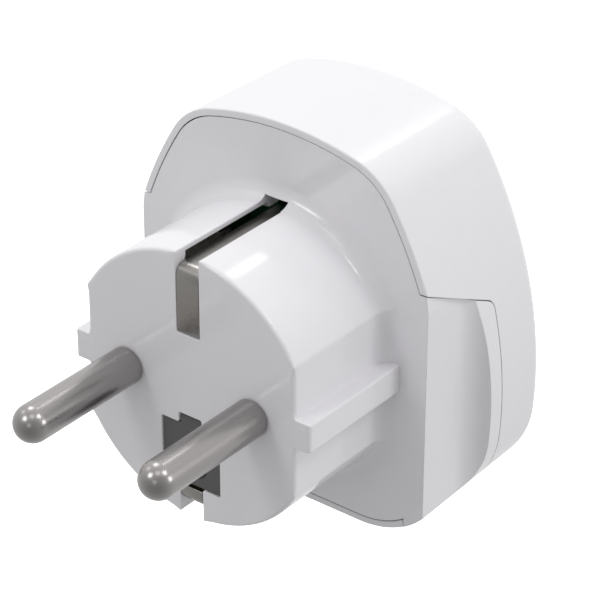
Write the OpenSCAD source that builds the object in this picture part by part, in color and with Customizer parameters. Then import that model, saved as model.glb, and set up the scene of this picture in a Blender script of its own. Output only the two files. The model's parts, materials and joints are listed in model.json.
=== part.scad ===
// Plug-in power meter: a compact meter housing on an earthed two-pin mains plug.
// The pins point along -Y, the socket and display face +Y, and +Z is up.
// The origin is the middle of the plug's face, halfway between the pins.

/* [Plug] */
// Radius of the plug's round body
plug_radius = 18.0; // [17.5:0.1:18.5]
// Distance from the middle to each flat side
plug_flat = 15.7; // [15.2:0.1:16.2]
// Depth of the plug body, from its face to the housing
plug_depth = 17.3; // [16:0.1:19]
// Half the height of the guide rib on each flat side
rib_half_height = 1.9; // [1.5:0.1:2.5]
// Rounding of the face's edge
face_edge_radius = 0.5; // [0.2:0.1:1]
// Radius of the concave blend where the plug meets the housing
root_blend = 2.2; // [1:0.1:3]
// Thickness of the plug's face wall
face_wall = 1.8; // [1.5:0.1:2.5]
// Inner radius of the plug's hollow body
plug_inner_radius = 16.6; // [16:0.1:17]

/* [Pins] */
// Distance between the two pins
pin_pitch = 19; // [18.5:0.1:19.5]
// Pin radius
pin_radius = 2.4; // [2.35:0.05:2.45]
// Length of a pin in front of the plug's face
pin_length = 19; // [18:0.5:19.5]

/* [Earth contacts] */
// Width of the earth grooves at the top and the bottom of the plug
groove_width = 3.5; // [3:0.1:4.5]
// Level of the inner end of the top groove on the face
top_groove_end = 7.3; // [6:0.1:9]
// Level of the inner end of the bottom slot on the face
bottom_slot_end = -3.7; // [-6:0.1:-3]
// Width of an earth strip
strip_width = 3.3; // [2.5:0.1:4]
// Thickness of an earth strip
strip_thickness = 0.8; // [0.5:0.1:1]
// Distance from the middle to the outer face of an earth strip
strip_level = 16.3; // [16:0.1:16.5]
// Half the width of the window around the earth pin's hole
window_half_width = 4.4; // [4:0.1:5]
// Upper edge of that window
window_top = -5.1; // [-6:0.1:-4.5]
// Lower edge of that window
window_bottom = -13.5; // [-14:0.1:-12.5]
// Level of the earth pin's hole
earth_hole_level = -10; // [-10.5:0.1:-9.5]
// Radius of the earth pin's hole
earth_hole_radius = 2.5; // [2.42:0.01:2.6]

/* [Housing outline] */
// Half the housing's width at its widest level
housing_half_width = 25.0; // [24:0.1:27]
// Level at which the housing is widest
widest_level = -7; // [-10:0.5:0]
// Highest point of the housing
housing_top = 28.2; // [26:0.1:30]
// Flat bottom of the housing
housing_bottom = -22.8; // [-25:0.1:-22]
// Radius of the long curve of each side
side_bow = 56; // [45:1:80]
// Radius of the long curve of the top
top_bow = 42; // [35:1:60]
// Radius of the upper corners
top_corner = 9.5; // [8:0.1:11]
// Radius of the lower corners
bottom_corner = 12.6; // [8:0.1:14]

/* [Housing depth] */
// Distance from the plug's face to the housing's front face
front_level = 38; // [36:0.5:42]
// Rounding of the housing's front edge
front_edge = 1.8; // [1:0.1:3]
// Thickness of the front hood's wall
hood_wall = 1.6; // [1.2:0.1:2]
// Width of the hood's rim that frames the back plate
rim_width = 1.0; // [0.8:0.1:1.5]
// Thickness of the back plate
plate_thickness = 1.8; // [1.5:0.1:2.5]
// Gap of the seam between hood and rear shell
seam_gap = 0.12; // [0.05:0.01:0.3]

/* [Finger grips] */
// Front edge of the rear shell's side wings
wing_front = 29.05; // [27:0.05:31]
// Level of a wing's upper edge at the back plate
wing_top = 12.3; // [10:0.1:14]
// Drop of that upper edge for each millimetre towards the front
wing_slope = 0.449; // [0.3:0.001:0.6]
// Rounding of a wing's upper front corner
wing_corner = 1.6; // [1:0.1:3]
// Distance from the middle to the inner end of a wing on the bottom
wing_inner = 18.95; // [18:0.05:20]
// Distance from the middle to a grip's floor at the back plate
grip_floor = 21.75; // [21:0.05:23]
// Distance from the middle to a grip's floor where its curve starts
grip_floor_front = 22; // [21.5:0.05:23]
// Level along the depth where a grip's curve starts
grip_curve_start = 23.4; // [22:0.1:25]
// Radius of a grip's curved front wall
grip_curve = 3.3; // [2:0.1:5]

/* [Socket] */
// Radius of the socket's round recess
recess_radius = 19.2; // [19:0.05:19.75]
// Depth of the recess
recess_depth = 17.5; // [17:0.1:18]
// Height of the socket's collar above the front face
collar_height = 1.9; // [1:0.1:3]
// Wall of the recess
recess_wall = 1.1; // [1:0.1:1.5]
// Thickness of the recess's floor
recess_floor = 1.5; // [1.2:0.1:2]
// Radius of the holes for the mating plug's pins
socket_hole_radius = 2.75; // [2.6:0.05:3]
// Bore radius of a contact sleeve
sleeve_bore = 2.44; // [2.42:0.01:2.5]
// Outer radius of a contact sleeve
sleeve_radius = 3.4; // [3.1:0.1:3.6]

/* [Display and buttons] */
// Half the width of the display window
window_half = 6.4; // [5:0.1:7]
// Lower edge of the display window
display_low = 21.7; // [21.5:0.1:22.5]
// Upper edge of the display window
display_high = 25.5; // [25:0.1:26]
// Sideways distance of each button from the middle
button_x = 12.6; // [12:0.1:13]
// Level of the buttons
button_z = 20.6; // [20:0.1:21]
// Radius of a button's cap
button_radius = 1.8; // [1.5:0.1:2]
// Height of a button above the front face
button_height = 0.5; // [0.3:0.1:1]
// Sideways distance of each light pipe from the middle
light_x = 8.9; // [8.5:0.1:9.3]
// Level of the light pipes
light_z = 22.9; // [22.5:0.1:23.5]

/* [Hidden] */
$fn = 64;
overrun = 1;
blend_sink = 0.03;
far = 40;
touch_gap = 0.05;
plug_inner_flat = plug_flat - 1.4;
pin_x = pin_pitch / 2;
pin_tail = 3.1;
pin_flange = 3.2;
pin_waist = 2.0;
pin_shoulder = 0.2;
flange_end = face_wall + 0.8;
plate_inside = plug_depth + plate_thickness;
collar_level = front_level + collar_height;
floor_level = collar_level - recess_depth;
floor_back = floor_level - recess_floor;
bowl_radius = recess_radius + recess_wall;
front_inside = front_level - hood_wall;
side_centre = [housing_half_width - side_bow, widest_level];
top_centre = [0, housing_top - top_bow];
top_corner_at = meet(side_centre, side_bow - top_corner, top_centre, top_bow - top_corner);
bottom_corner_at = beside(side_centre, side_bow - bottom_corner, housing_bottom + bottom_corner);

// Circuit boards
board_back = plate_inside + 0.1;
board_front = board_back + 1;
board_opening = 13.2;
display_board_back = 31.4;
display_board_front = 32.4;
parts_level = board_front + touch_gap;
display_parts_level = display_board_front + touch_gap;

// Contact carrier and shutter behind the recess floor
carrier_radius = 12.8;
carrier_back = 18.2;
carrier_front = 19.4;
shutter_back = 19.6;
shutter_front = 20.7;
pivot_radius = 1.5;
shutter_lobe = 3.3;
sleeve_start = 3.6;
sleeve_end = 18;
post_z = 10.6;

// Screw places, as sideways distance and level
board_screws = [[14.3, 18.3], [16.4, -16.4]];
insert_ear = [16.2, -16.2];
display_boss = [15.2, 17.4];
lead_holes = [[-9.6, 10], [10.6, 9.4], [8.2, 11.6], [-10.6, -10.65], [-8.8, -10.65]];

// Crossing point, on the side of +X, of two circles
function meet(a, a_radius, b, b_radius) =
    let (
        step = b - a,
        reach = norm(step),
        along = (a_radius * a_radius - b_radius * b_radius + reach * reach) / (2 * reach),
        aside = sqrt(a_radius * a_radius - along * along),
        ahead = step / reach
    )
    a + along * ahead + aside * [-ahead.y, ahead.x];

// Point at a given level on a circle, on the side of +X
function beside(centre, radius, level) =
    [centre.x + sqrt(pow(radius, 2) - pow(level - centre.y, 2)), level];

function unit(v) = v / norm(v);

// Solid from a drawing of X and Z, between two levels of Y
module along_y(from, to) {
    translate([0, to, 0])
        rotate([90, 0, 0])
            linear_extrude(height = to - from)
                children();
}

// Solid from a drawing of Y and Z, between two levels of X
module along_x(from, to) {
    translate([from, 0, 0])
        rotate([90, 0, 90])
            linear_extrude(height = to - from)
                children();
}

// Solid turned about an axis along Y, from a drawing of radius and Y
module turned(at = [0, 0]) {
    translate([at.x, 0, at.y])
        rotate([-90, 0, 0])
            rotate_extrude()
                children();
}

module rod(radius, from, to, at = [0, 0]) {
    translate([at.x, from, at.y])
        rotate([-90, 0, 0])
            cylinder(r = radius, h = to - from);
}

module block(low, high) {
    translate(low)
        cube(high - low);
}

module both_sides() {
    for (side = [0, 1])
        mirror([side, 0, 0])
            children();
}

// Everything outside the chord of a rounded corner
module corner_cut(centre, radius, from, to) {
    polygon([
        centre + radius * from,
        centre + (radius + far) * from,
        centre + 3 * far * unit(from + to),
        centre + (radius + far) * to,
        centre + radius * to
    ]);
}

// The housing's outline, drawn in by a margin
module outline(inset = 0) {
    both_sides() {
        translate(top_corner_at)
            circle(r = top_corner - inset);
        translate(bottom_corner_at)
            circle(r = bottom_corner - inset);
    }
    difference() {
        intersection() {
            both_sides()
                translate(side_centre)
                    intersection() {
                        circle(r = side_bow - inset, $fn = 360);
                        translate([-side_centre.x - 0.01, -far])
                            square(2 * far);
                    }
            translate(top_centre)
                circle(r = top_bow - inset, $fn = 360);
            translate([-far, housing_bottom + inset])
                square(2 * far);
        }
        both_sides() {
            corner_cut(top_corner_at, top_corner - inset,
                unit(top_corner_at - side_centre), unit(top_corner_at - top_centre));
            corner_cut(bottom_corner_at, bottom_corner - inset,
                unit(bottom_corner_at - side_centre), [0, -1]);
        }
    }
}

// Side view of a wing, in Y and Z, grown by a margin
module wing_side(grow = 0) {
    offset(r = wing_corner + grow)
        offset(delta = -wing_corner)
            polygon([
                [plug_depth - 10, wing_top + 10 * wing_slope],
                [wing_front, wing_top - (wing_front - plug_depth) * wing_slope],
                [wing_front, -far],
                [plug_depth - 10, -far]
            ]);
}

// Space that the wings take from the hood, grown by a margin
module wing_space(grow = 0) {
    both_sides()
        along_x(wing_inner - grow, far)
            wing_side(grow);
}

// Scoop for a finger, cut straight through from top to bottom
module grip_scoop() {
    translate([0, 0, -far])
        linear_extrude(height = 2 * far) {
            polygon([
                [grip_floor, plug_depth - overrun],
                [grip_floor_front, grip_curve_start],
                [far, grip_curve_start],
                [far, plug_depth - overrun]
            ]);
            translate([grip_floor_front + grip_curve, grip_curve_start])
                circle(r = grip_curve);
            translate([grip_floor_front + grip_curve, grip_curve_start])
                square([far, grip_curve]);
        }
}

// Round body of the plug with its flat sides, in X and Z
module plug_section(radius, flat) {
    intersection() {
        circle(r = radius);
        square([2 * flat, 3 * radius], center = true);
    }
}

module plug_outside() {
    intersection() {
        turned()
            difference() {
                square([plug_radius, plug_depth + plate_thickness]);
                translate([plug_radius - face_edge_radius, 0])
                    difference() {
                        square(face_edge_radius);
                        translate([0, face_edge_radius])
                            circle(r = face_edge_radius, $fn = 24);
                    }
            }
        along_y(0, plate_inside) {
            plug_section(plug_radius + overrun, plug_flat);
            square([3 * plug_radius, 2 * rib_half_height], center = true);
        }
    }
}

// Section of a wall that spreads into the back plate, with the wall at a distance from the middle
module blend_section(wall) {
    difference() {
        translate([0, plug_depth - root_blend])
            square([wall + root_blend, root_blend + overrun / 2]);
        translate([wall + root_blend - blend_sink, plug_depth - root_blend + blend_sink])
            circle(r = root_blend);
    }
}

// Concave blend between the plug's body and the back plate
module root_blends() {
    intersection() {
        turned()
            blend_section(plug_radius);
        both_sides()
            translate([0, 0, -far])
                linear_extrude(height = 2 * far)
                    blend_section(plug_flat);
    }
}

module wings() {
    difference() {
        intersection() {
            along_y(plug_depth, wing_front)
                difference() {
                    outline();
                    intersection() {
                        outline(hood_wall);
                        square([2 * (bowl_radius + 0.15), 3 * far], center = true);
                    }
                }
            wing_space();
        }
        both_sides()
            grip_scoop();
    }
}

module back_plate() {
    difference() {
        along_y(plug_depth, plate_inside) {
            outline(rim_width + seam_gap);
            intersection() {
                outline();
                both_sides()
                    translate([wing_inner, -far])
                        square([far, far + wing_top]);
            }
        }
        both_sides()
            grip_scoop();
    }
}

// Hooks that hold the hood, at the top and at both sides of the bottom
module snap_hook(x, level, out) {
    along_x(x - 2.5, x + 2.5)
        polygon([
            [plug_depth + 0.5, level],
            [plug_depth + 0.5, level - out],
            [23.2, level - out],
            [23.2, level + 0.1 * out],
            [22.2, level + 0.55 * out],
            [21.8, level + 0.55 * out],
            [21.8, level]
        ]);
}

module snap_hooks() {
    snap_hook(0, 26.2, 1.1);
    both_sides()
        snap_hook(9, -20.95, -0.8);
}

// Groove and pocket for an earth strip, in the plug's round wall
module strip_groove() {
    block([-groove_width / 2, -overrun, 0],
        [groove_width / 2, plate_inside + overrun, plug_radius + overrun / 2]);
    intersection() {
        rod(plug_radius - 0.65, face_wall + 0.1, plug_depth);
        block([-5.5, 0, 0], [5.5, far, far]);
    }
}

module rear_shell() {
    color([0.93, 0.93, 0.94])
        difference() {
            union() {
                plug_outside();
                root_blends();
                back_plate();
                wings();
                snap_hooks();
            }
            along_y(face_wall, plate_inside + overrun)
                plug_section(plug_inner_radius, plug_inner_flat);
            intersection() {
                strip_groove();
                block([-far, -overrun, top_groove_end], [far, far, far]);
            }
            intersection() {
                mirror([0, 0, 1])
                    strip_groove();
                block([-far, -overrun, -far], [far, far, bottom_slot_end]);
            }
            block([-window_half_width, -overrun, window_bottom],
                [window_half_width, face_wall + 0.1, window_top]);
            both_sides() {
                rod(pin_waist + touch_gap, -overrun, face_wall + 0.1, [pin_x, 0]);
                for (at = board_screws)
                    rod(0.85, plug_depth + 0.4, plate_inside + 0.1, at);
            }
        }
}

// The hood's outside, with its front edge rounded
module hood_outside() {
    along_y(plug_depth, front_level - front_edge)
        outline();
    hull()
        for (turn = [0:30:90])
            translate([0, front_edge * (sin(turn) - 1), 0])
                along_y(front_level - 0.1, front_level)
                    outline(front_edge * (1 - cos(turn)), $fn = 32);
}

module front_hood() {
    color([0.95, 0.95, 0.96])
        difference() {
            union() {
                difference() {
                    hood_outside();
                    along_y(plug_depth - overrun, plate_inside + 0.2)
                        outline(rim_width);
                    along_y(plate_inside, front_inside)
                        outline(hood_wall);
                }
                both_sides()
                    rod(1.5, display_parts_level, front_inside + 0.1, display_boss);
            }
            wing_space(seam_gap);
            rod(bowl_radius + 0.3, front_inside - overrun, front_level + overrun);
            block([-window_half - 0.1, front_inside - overrun, display_low - 0.1],
                [window_half + 0.1, front_level + overrun, display_high + 0.1]);
            both_sides() {
                rod(button_radius + 0.08, front_inside - overrun, front_level + overrun,
                    [button_x, button_z]);
                rod(0.95, front_inside - overrun, front_level + overrun, [light_x, light_z]);
                rod(0.7, 31, 34.6, display_boss);
                rod(0.85, front_inside - overrun, front_level - 0.6, insert_ear);
                block([6.2, 21.4, -21.7], [11.8, 23.6, -20]);
            }
            block([-2.8, 21.4, 25], [2.8, 23.6, 27.1]);
        }
}

// Guide block at a side of the recess, with a notch for the mating plug's rib
module guide_block() {
    intersection() {
        rod(recess_radius + 0.3, floor_level - 0.1, collar_level - 1);
        difference() {
            block([16.4, 0, -6], [far, far, 6]);
            block([0, 0, -2.4], [18.6, far, 2.4]);
        }
    }
}

module socket_insert() {
    color([0.94, 0.94, 0.95])
        difference() {
            union() {
                turned()
                    polygon([
                        [0, floor_back],
                        [bowl_radius, floor_back],
                        [bowl_radius, collar_level - 0.4],
                        [bowl_radius - 0.4, collar_level],
                        [recess_radius + 0.3, collar_level],
                        [recess_radius, collar_level - 0.3],
                        [recess_radius, floor_level],
                        [0, floor_level]
                    ]);
                both_sides() {
                    guide_block();
                    rod(2.2, front_inside - 1.6, front_inside - 0.1, insert_ear);
                }
                along_y(front_inside - 1.6, front_inside - 0.1)
                    intersection() {
                        difference() {
                            circle(r = bowl_radius + 1.6);
                            circle(r = bowl_radius - 0.5);
                        }
                        outline(hood_wall + 0.15);
                        translate([-far, -far])
                            square([2 * far, far + 12]);
                    }
                for (side = [-1, 1])
                    rod(2, carrier_front + touch_gap, floor_back + 0.1, [0, side * post_z]);
            }
            both_sides() {
                rod(socket_hole_radius, floor_back - overrun, floor_level + overrun, [pin_x, 0]);
                rod(0.85, 30, front_level, insert_ear);
            }
            for (side = [-1, 1]) {
                rod(0.7, carrier_front, floor_back + 0.9, [0, side * post_z]);
                block([-1.9, floor_back - overrun, side * 15.95 - 0.75],
                    [1.9, floor_level + overrun, side * 15.95 + 0.75]);
            }
            rod(pivot_radius + touch_gap, floor_back - overrun, floor_back + 0.8);
        }
}

module contact_carrier() {
    color([0.25, 0.26, 0.28])
        difference() {
            union() {
                rod(carrier_radius, carrier_back, carrier_front);
                rod(pivot_radius, carrier_front - 0.1, floor_back + 0.6);
                both_sides()
                    rod(4.2, 15.2, carrier_back + 0.1, [pin_x, 0]);
            }
            both_sides() {
                rod(sleeve_radius + touch_gap, 15, carrier_back, [pin_x, 0]);
                rod(socket_hole_radius, carrier_back - overrun, carrier_front + overrun, [pin_x, 0]);
            }
            for (side = [-1, 1])
                rod(0.9, carrier_back - overrun, carrier_front + overrun, [0, side * post_z]);
            turned()
                translate([pivot_radius + 0.4, carrier_back + 0.3])
                    square([1.1, far]);
        }
}

module shutter() {
    color([0.85, 0.86, 0.88])
        along_y(shutter_back, shutter_front)
            difference() {
                union() {
                    circle(r = 3.2);
                    square([pin_pitch, 4.8], center = true);
                    for (side = [-1, 1])
                        translate([side * pin_x, 0])
                            circle(r = shutter_lobe);
                }
                circle(r = pivot_radius + 0.06);
            }
}

module shutter_spring() {
    coil_radius = pivot_radius + 0.95;
    wire_radius = 0.18;
    color([0.7, 0.7, 0.72])
        turned()
            for (turn = [0, 1])
                translate([coil_radius, carrier_back + 0.55 + 2 * turn * wire_radius])
                    circle(r = wire_radius + 0.01, $fn = 16);
}

// A pin turned in one piece with its flange and riveted tail
module pin_at(x) {
    turned([x, 0]) {
        intersection() {
            translate([0, pin_radius - pin_length])
                circle(r = pin_radius, $fn = 48);
            translate([0, -pin_length])
                square([pin_radius, pin_length]);
        }
        translate([0, pin_radius - pin_length])
            square([pin_radius, pin_length - pin_radius - pin_shoulder]);
        translate([0, -pin_shoulder])
            square([pin_waist, pin_shoulder + face_wall + 0.1]);
        translate([0, face_wall])
            square([pin_flange, flange_end - face_wall]);
        square([pivot_radius, pin_tail]);
    }
}

module line_pin() {
    color([0.66, 0.65, 0.64])
        pin_at(-pin_x);
}

module neutral_pin() {
    color([0.66, 0.65, 0.64])
        pin_at(pin_x);
}

// Contact sleeve with a spring slot along its upper side
module sleeve_at(x) {
    difference() {
        rod(sleeve_radius, sleeve_start, sleeve_end, [x, 0]);
        rod(sleeve_bore, sleeve_start - overrun, sleeve_end + overrun, [x, 0]);
        block([x - 0.4, sleeve_start + 4, 0], [x + 0.4, sleeve_end + overrun, far]);
    }
}

module line_sleeve() {
    color([0.78, 0.66, 0.36])
        sleeve_at(-pin_x);
}

module neutral_sleeve() {
    color([0.78, 0.66, 0.36])
        sleeve_at(pin_x);
}

// Flat strap around a pin's riveted tail
module tail_strap(x, low) {
    along_y(flange_end, pin_tail)
        difference() {
            translate([x - 1.8, low])
                square([3.6, 2 - low]);
            translate([x, 0])
                circle(r = pivot_radius + touch_gap);
        }
}

module line_busbar() {
    color([0.8, 0.5, 0.3]) {
        tail_strap(-pin_x, -10.2);
        block([-pin_x - 1.8, flange_end, -10.2], [-pin_x + 1.8, 9.5, -9.6]);
    }
}

module load_busbar() {
    color([0.8, 0.5, 0.3])
        block([-pin_x - 1.8, 14.05, -10.2], [-pin_x + 1.8, 14.65, -sleeve_radius - touch_gap]);
}

module neutral_link() {
    color([0.8, 0.5, 0.3]) {
        tail_strap(pin_x, -4.1);
        block([pin_x - 1.8, flange_end, -4.1], [pin_x + 1.8, 12, -3.5]);
    }
}

module shunt_resistor() {
    color([0.62, 0.56, 0.5])
        difference() {
            block([-pin_x - 1.5, 9.55, -10.2], [-pin_x + 1.5, 14, -9.6]);
            block([-pin_x - 0.2, 10.6, -11], [-pin_x + 0.2, 12.9, -9]);
        }
}

module sense_wires() {
    color([0.75, 0.15, 0.12])
        for (x = [-10.6, -8.8])
            rod(0.4, 9.8, board_front, [x, -10.65]);
}

// Side view of an earth strip's spring blade in the socket, in Y and Z
module socket_blade() {
    inner = strip_level - strip_thickness;
    polygon([
        [floor_back - overrun, inner],
        [30, inner - 0.3],
        [31.2, inner - 0.1],
        [33.6, inner + 2.2],
        [33.1, inner + 2.8],
        [30.8, inner + 0.65],
        [30, inner + 0.5],
        [floor_back - overrun, strip_level]
    ]);
}

// Earth strip: a face band from the given level, a bend, and a long blade
module earth_strip(band_start) {
    bend = 1.4;
    front_face = 0.05;
    along_x(-strip_width / 2, strip_width / 2) {
        translate([front_face, band_start])
            square([strip_thickness, strip_level - bend - band_start]);
        translate([front_face + bend, strip_level - bend])
            difference() {
                circle(r = bend, $fn = 32);
                circle(r = bend - strip_thickness, $fn = 32);
                translate([0, -far])
                    square(2 * far);
                translate([-far, -2 * far])
                    square(2 * far);
            }
        translate([front_face + bend, strip_level - strip_thickness])
            square([floor_back - overrun - front_face - bend, strip_thickness]);
        socket_blade();
    }
}

module earth_strip_top() {
    color([0.55, 0.53, 0.5])
        earth_strip(top_groove_end + 0.3);
}

module earth_strip_bottom() {
    color([0.55, 0.53, 0.5])
        mirror([0, 0, 1])
            earth_strip(13.9);
}

module earth_pin_socket() {
    plate_back = 0.9;
    lip = 1.6;
    color([0.35, 0.34, 0.34])
        difference() {
            union() {
                block([-window_half_width + 0.1, 0.2, window_bottom + 0.1],
                    [window_half_width - 0.1, plate_back, window_top - 0.1]);
                block([-lip, 0.2, window_top - 0.2], [lip, plate_back, bottom_slot_end - 0.35]);
                block([-lip, 0.2, bottom_slot_end - 1], [lip, 2.4, bottom_slot_end - 0.35]);
                rod(earth_hole_radius + 0.6, 0.5, 14.5, [0, earth_hole_level]);
            }
            rod(earth_hole_radius, -overrun, 14.5 + overrun, [0, earth_hole_level]);
        }
}

// C-shaped strap on the neutral side, with a tab to each earth strip
module earth_bridge() {
    inner = 13.15;
    tab_half = 1.2;
    tab_length = strip_level - strip_thickness - inner - 0.1;
    color([0.78, 0.66, 0.36])
        along_y(1.95, 2.75) {
            difference() {
                circle(r = inner + 0.75);
                circle(r = inner);
                translate([-tab_half - 2 * far, -far])
                    square(2 * far);
            }
            for (low = [inner + touch_gap, -inner - touch_gap - tab_length])
                translate([-tab_half, low])
                    square([2 * tab_half, tab_length]);
        }
}

module main_board() {
    color([0.1, 0.35, 0.2])
        along_y(board_back, board_front)
            difference() {
                intersection() {
                    outline(3.4);
                    square([39.6, 3 * far], center = true);
                }
                circle(r = board_opening);
                for (side = [-1, 1])
                    translate([0, side * 15.9])
                        square([4, 1.6], center = true);
                both_sides()
                    for (at = board_screws)
                        translate(at)
                            circle(r = 0.95);
                for (at = lead_holes)
                    translate(at)
                        circle(r = 0.45);
            }
}

module mains_capacitor() {
    color([0.85, 0.78, 0.2])
        block([-4.4, 5, -2.8], [4.4, 15.5, 5]);
}

module fuse() {
    at = [-9.6, 10];
    color([0.8, 0.8, 0.75]) {
        rod(1.7, 6, 16, at);
        rod(1.9, 6, 8, at);
        rod(1.9, 14, 16, at);
        rod(0.35, 15.9, board_front, at);
    }
}

module varistor() {
    color([0.15, 0.3, 0.6]) {
        rod(3.2, 11, 14.2, [8.6, 9.3]);
        rod(0.3, 14.1, board_front, [10.6, 9.4]);
        rod(0.3, 14.1, board_front, [8.2, 11.6]);
    }
}

module storage_capacitor() {
    color([0.15, 0.15, 0.2])
        rod(2.4, parts_level, 29.5, [11, 20.6]);
}

module metering_chip() {
    color([0.12, 0.12, 0.12])
        block([-7.4, parts_level, 20.8], [-2.5, 21.8, 23.4]);
}

module controller_chip() {
    color([0.12, 0.12, 0.12])
        block([2.9, parts_level, 20.8], [6.1, 21.2, 23.4]);
}

module crystal() {
    color([0.75, 0.75, 0.78])
        block([-12.2, parts_level, 19], [-9.4, 21.3, 20.4]);
}

module header_pins() {
    pin_step = 1.27;
    color([0.15, 0.15, 0.15]) {
        block([-2.3, parts_level, 21.4], [2.3, 22.6, 23]);
        for (place = [-1.5:1:1.5])
            rod(0.28, 22.5, display_board_back - touch_gap, [place * pin_step, 22.2]);
    }
}

module display_board() {
    color([0.1, 0.35, 0.2])
        along_y(display_board_back, display_board_front)
            difference() {
                intersection() {
                    outline(2.2);
                    translate([-far, 15.6])
                        square(2 * far);
                }
                circle(r = bowl_radius + 0.5);
                both_sides()
                    translate(display_boss)
                        circle(r = 0.75);
            }
}

module display_cell() {
    color([0.62, 0.68, 0.6])
        block([-6.9, 33.6, 21], [6.9, 35.3, 25.6]);
}

module elastomer_strip() {
    color([0.9, 0.5, 0.6])
        block([-6.2, display_parts_level, 21.2], [6.2, 33.55, 22.6]);
}

module display_window() {
    color([0.8, 0.85, 0.88]) {
        block([-window_half, front_inside - 0.2, display_low], [window_half, front_level, display_high]);
        block([-7, front_inside - 1, 21.2], [7, front_inside - 0.1, 25.85]);
    }
}

module button_at(x) {
    back = 35.05;
    rod(button_radius, back, front_level + button_height, [x, button_z]);
    rod(2.15, back, back + 1, [x, button_z]);
}

module mode_button() {
    color([0.55, 0.57, 0.6])
        button_at(-button_x);
}

module reset_button() {
    color([0.8, 0.3, 0.25])
        button_at(button_x);
}

module tactile_switches() {
    color([0.2, 0.2, 0.22])
        both_sides() {
            block([button_x - 1.6, display_parts_level, button_z - 1.6],
                [button_x + 1.6, 34, button_z + 1.6]);
            rod(0.8, 33.9, 34.5, [button_x, button_z]);
        }
}

module status_leds() {
    color([0.9, 0.9, 0.7])
        both_sides()
            block([light_x - 0.8, display_parts_level, light_z - 0.4],
                [light_x + 0.8, 33.2, light_z + 0.4]);
}

module light_pipes() {
    color([0.7, 0.85, 0.75])
        both_sides() {
            rod(0.85, 33.4, front_level + 0.1, [light_x, light_z]);
            rod(1.3, 35.2, front_inside - 0.1, [light_x, light_z]);
        }
}

// Small screw driven towards the given end, with its head at the other
module screw(at, tip, head_face, head_radius, shank_radius, head_height) {
    away = sign(head_face - tip);
    rod(shank_radius, min(tip, head_face), max(tip, head_face), at);
    rod(head_radius, min(head_face, head_face + away * head_height),
        max(head_face, head_face + away * head_height), at);
}

module case_screws() {
    color([0.6, 0.6, 0.62])
        both_sides() {
            for (at = board_screws)
                screw(at, plug_depth + 0.5, board_front, 1.6, 0.8, 1);
            screw(insert_ear, front_level - 0.9, front_inside - 1.65, 1.6, 0.8, 1);
        }
}

module display_screws() {
    color([0.6, 0.6, 0.62])
        both_sides()
            screw(display_boss, 34.4, display_board_back - touch_gap, 1.3, 0.65, 0.8);
}

module carrier_screws() {
    color([0.6, 0.6, 0.62])
        for (side = [-1, 1])
            screw([0, side * post_z], floor_back + 0.8, carrier_back - touch_gap, 1.4, 0.65, 0.8);
}

rear_shell();
front_hood();
socket_insert();
contact_carrier();
shutter();
shutter_spring();
line_pin();
neutral_pin();
line_sleeve();
neutral_sleeve();
line_busbar();
load_busbar();
neutral_link();
shunt_resistor();
sense_wires();
earth_strip_top();
earth_strip_bottom();
earth_pin_socket();
earth_bridge();
main_board();
mains_capacitor();
fuse();
varistor();
storage_capacitor();
metering_chip();
controller_chip();
crystal();
header_pins();
display_board();
display_cell();
display_window();
elastomer_strip();
mode_button();
reset_button();
tactile_switches();
status_leds();
light_pipes();
case_screws();
display_screws();
carrier_screws();
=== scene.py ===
"""Plug-in power meter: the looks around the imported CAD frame. Lengths are in metres."""

import json
import math

import bmesh
import bpy
import numpy as np
from mathutils import Matrix, Vector
from mathutils.geometry import delaunay_2d_cdt


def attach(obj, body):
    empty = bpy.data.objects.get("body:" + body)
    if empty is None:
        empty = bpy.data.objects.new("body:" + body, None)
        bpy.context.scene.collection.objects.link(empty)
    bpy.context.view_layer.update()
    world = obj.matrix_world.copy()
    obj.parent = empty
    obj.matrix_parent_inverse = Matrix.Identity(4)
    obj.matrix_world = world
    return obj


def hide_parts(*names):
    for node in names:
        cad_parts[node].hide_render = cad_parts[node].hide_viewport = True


MM = 0.001

# Camera: a long lens held above and to the side of the pins
CAMERA_AZIMUTH = 38.0
CAMERA_ELEVATION = 29.9
CAMERA_DISTANCE = 316.7 * MM
CAMERA_RIGHT = 12.98 * MM
CAMERA_UP = 10.55 * MM
CAMERA_ROLL = 0.06
LENS = 162.0
SENSOR = 36.0

# Housing outline, seen along the plug, in mm
WIDEST = 25.0
WIDEST_LEVEL = -7.0
TOP = 28.2
BOTTOM = -22.8
SIDE_BOW = 56.0
TOP_BOW = 42.0
TOP_CORNER = 9.5
BOTTOM_CORNER = 12.6

# Depths along the plug, in mm
PLATE = 17.3
PLATE_INSIDE = 19.1
FRONT = 38.0
FRONT_EDGE = 1.8
REAR_EDGE = 0.25
DRAFT = 0.4
HOOD_WALL = 1.6
RIM = 1.0
SEAM = 0.14

# Plug body, in mm
PLUG_RADIUS = 18.0
PLUG_FLAT = 15.7
RIB = 1.9
FACE_EDGE = 0.5
CORNER_REACH = 0.3
FINE_EDGE = 0.08
ROOT_BLEND = 2.2
BLEND_SINK = 0.005
GROOVE_TOP = 18.5
FACE_WALL = 1.8
INNER_RADIUS = 16.6
INNER_FLAT = 14.3
GROOVE = 1.75
TOP_GROOVE_END = 7.27
BOTTOM_SLOT_END = -3.7
WINDOW_HALF = 4.45
WINDOW_TOP = -5.1
WINDOW_BOTTOM = -13.5
UNDERCUT_RADIUS = 17.35
UNDERCUT_HALF = 5.5
UNDERCUT_DEPTH = 3.0
ROOT_OVERLAP = 0.9
EDGE_FADE_GROOVE = 1.2
EDGE_FADE_RIB = 0.8
EDGE_AT_CORNER = 0.2
MOUTH_START = 2.6
MOUTH_OVERLAP = 0.4
MOUTH_GAP = 0.01
PIN_HOLE_GAP = 0.05
HOLE_OVERRUN = 0.2
WING_OVERRUN = 3.0
WING_WALL = 4.8
HOOD_LEDGE = 1.9
HOOD_INNER_EDGE = 0.8

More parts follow.
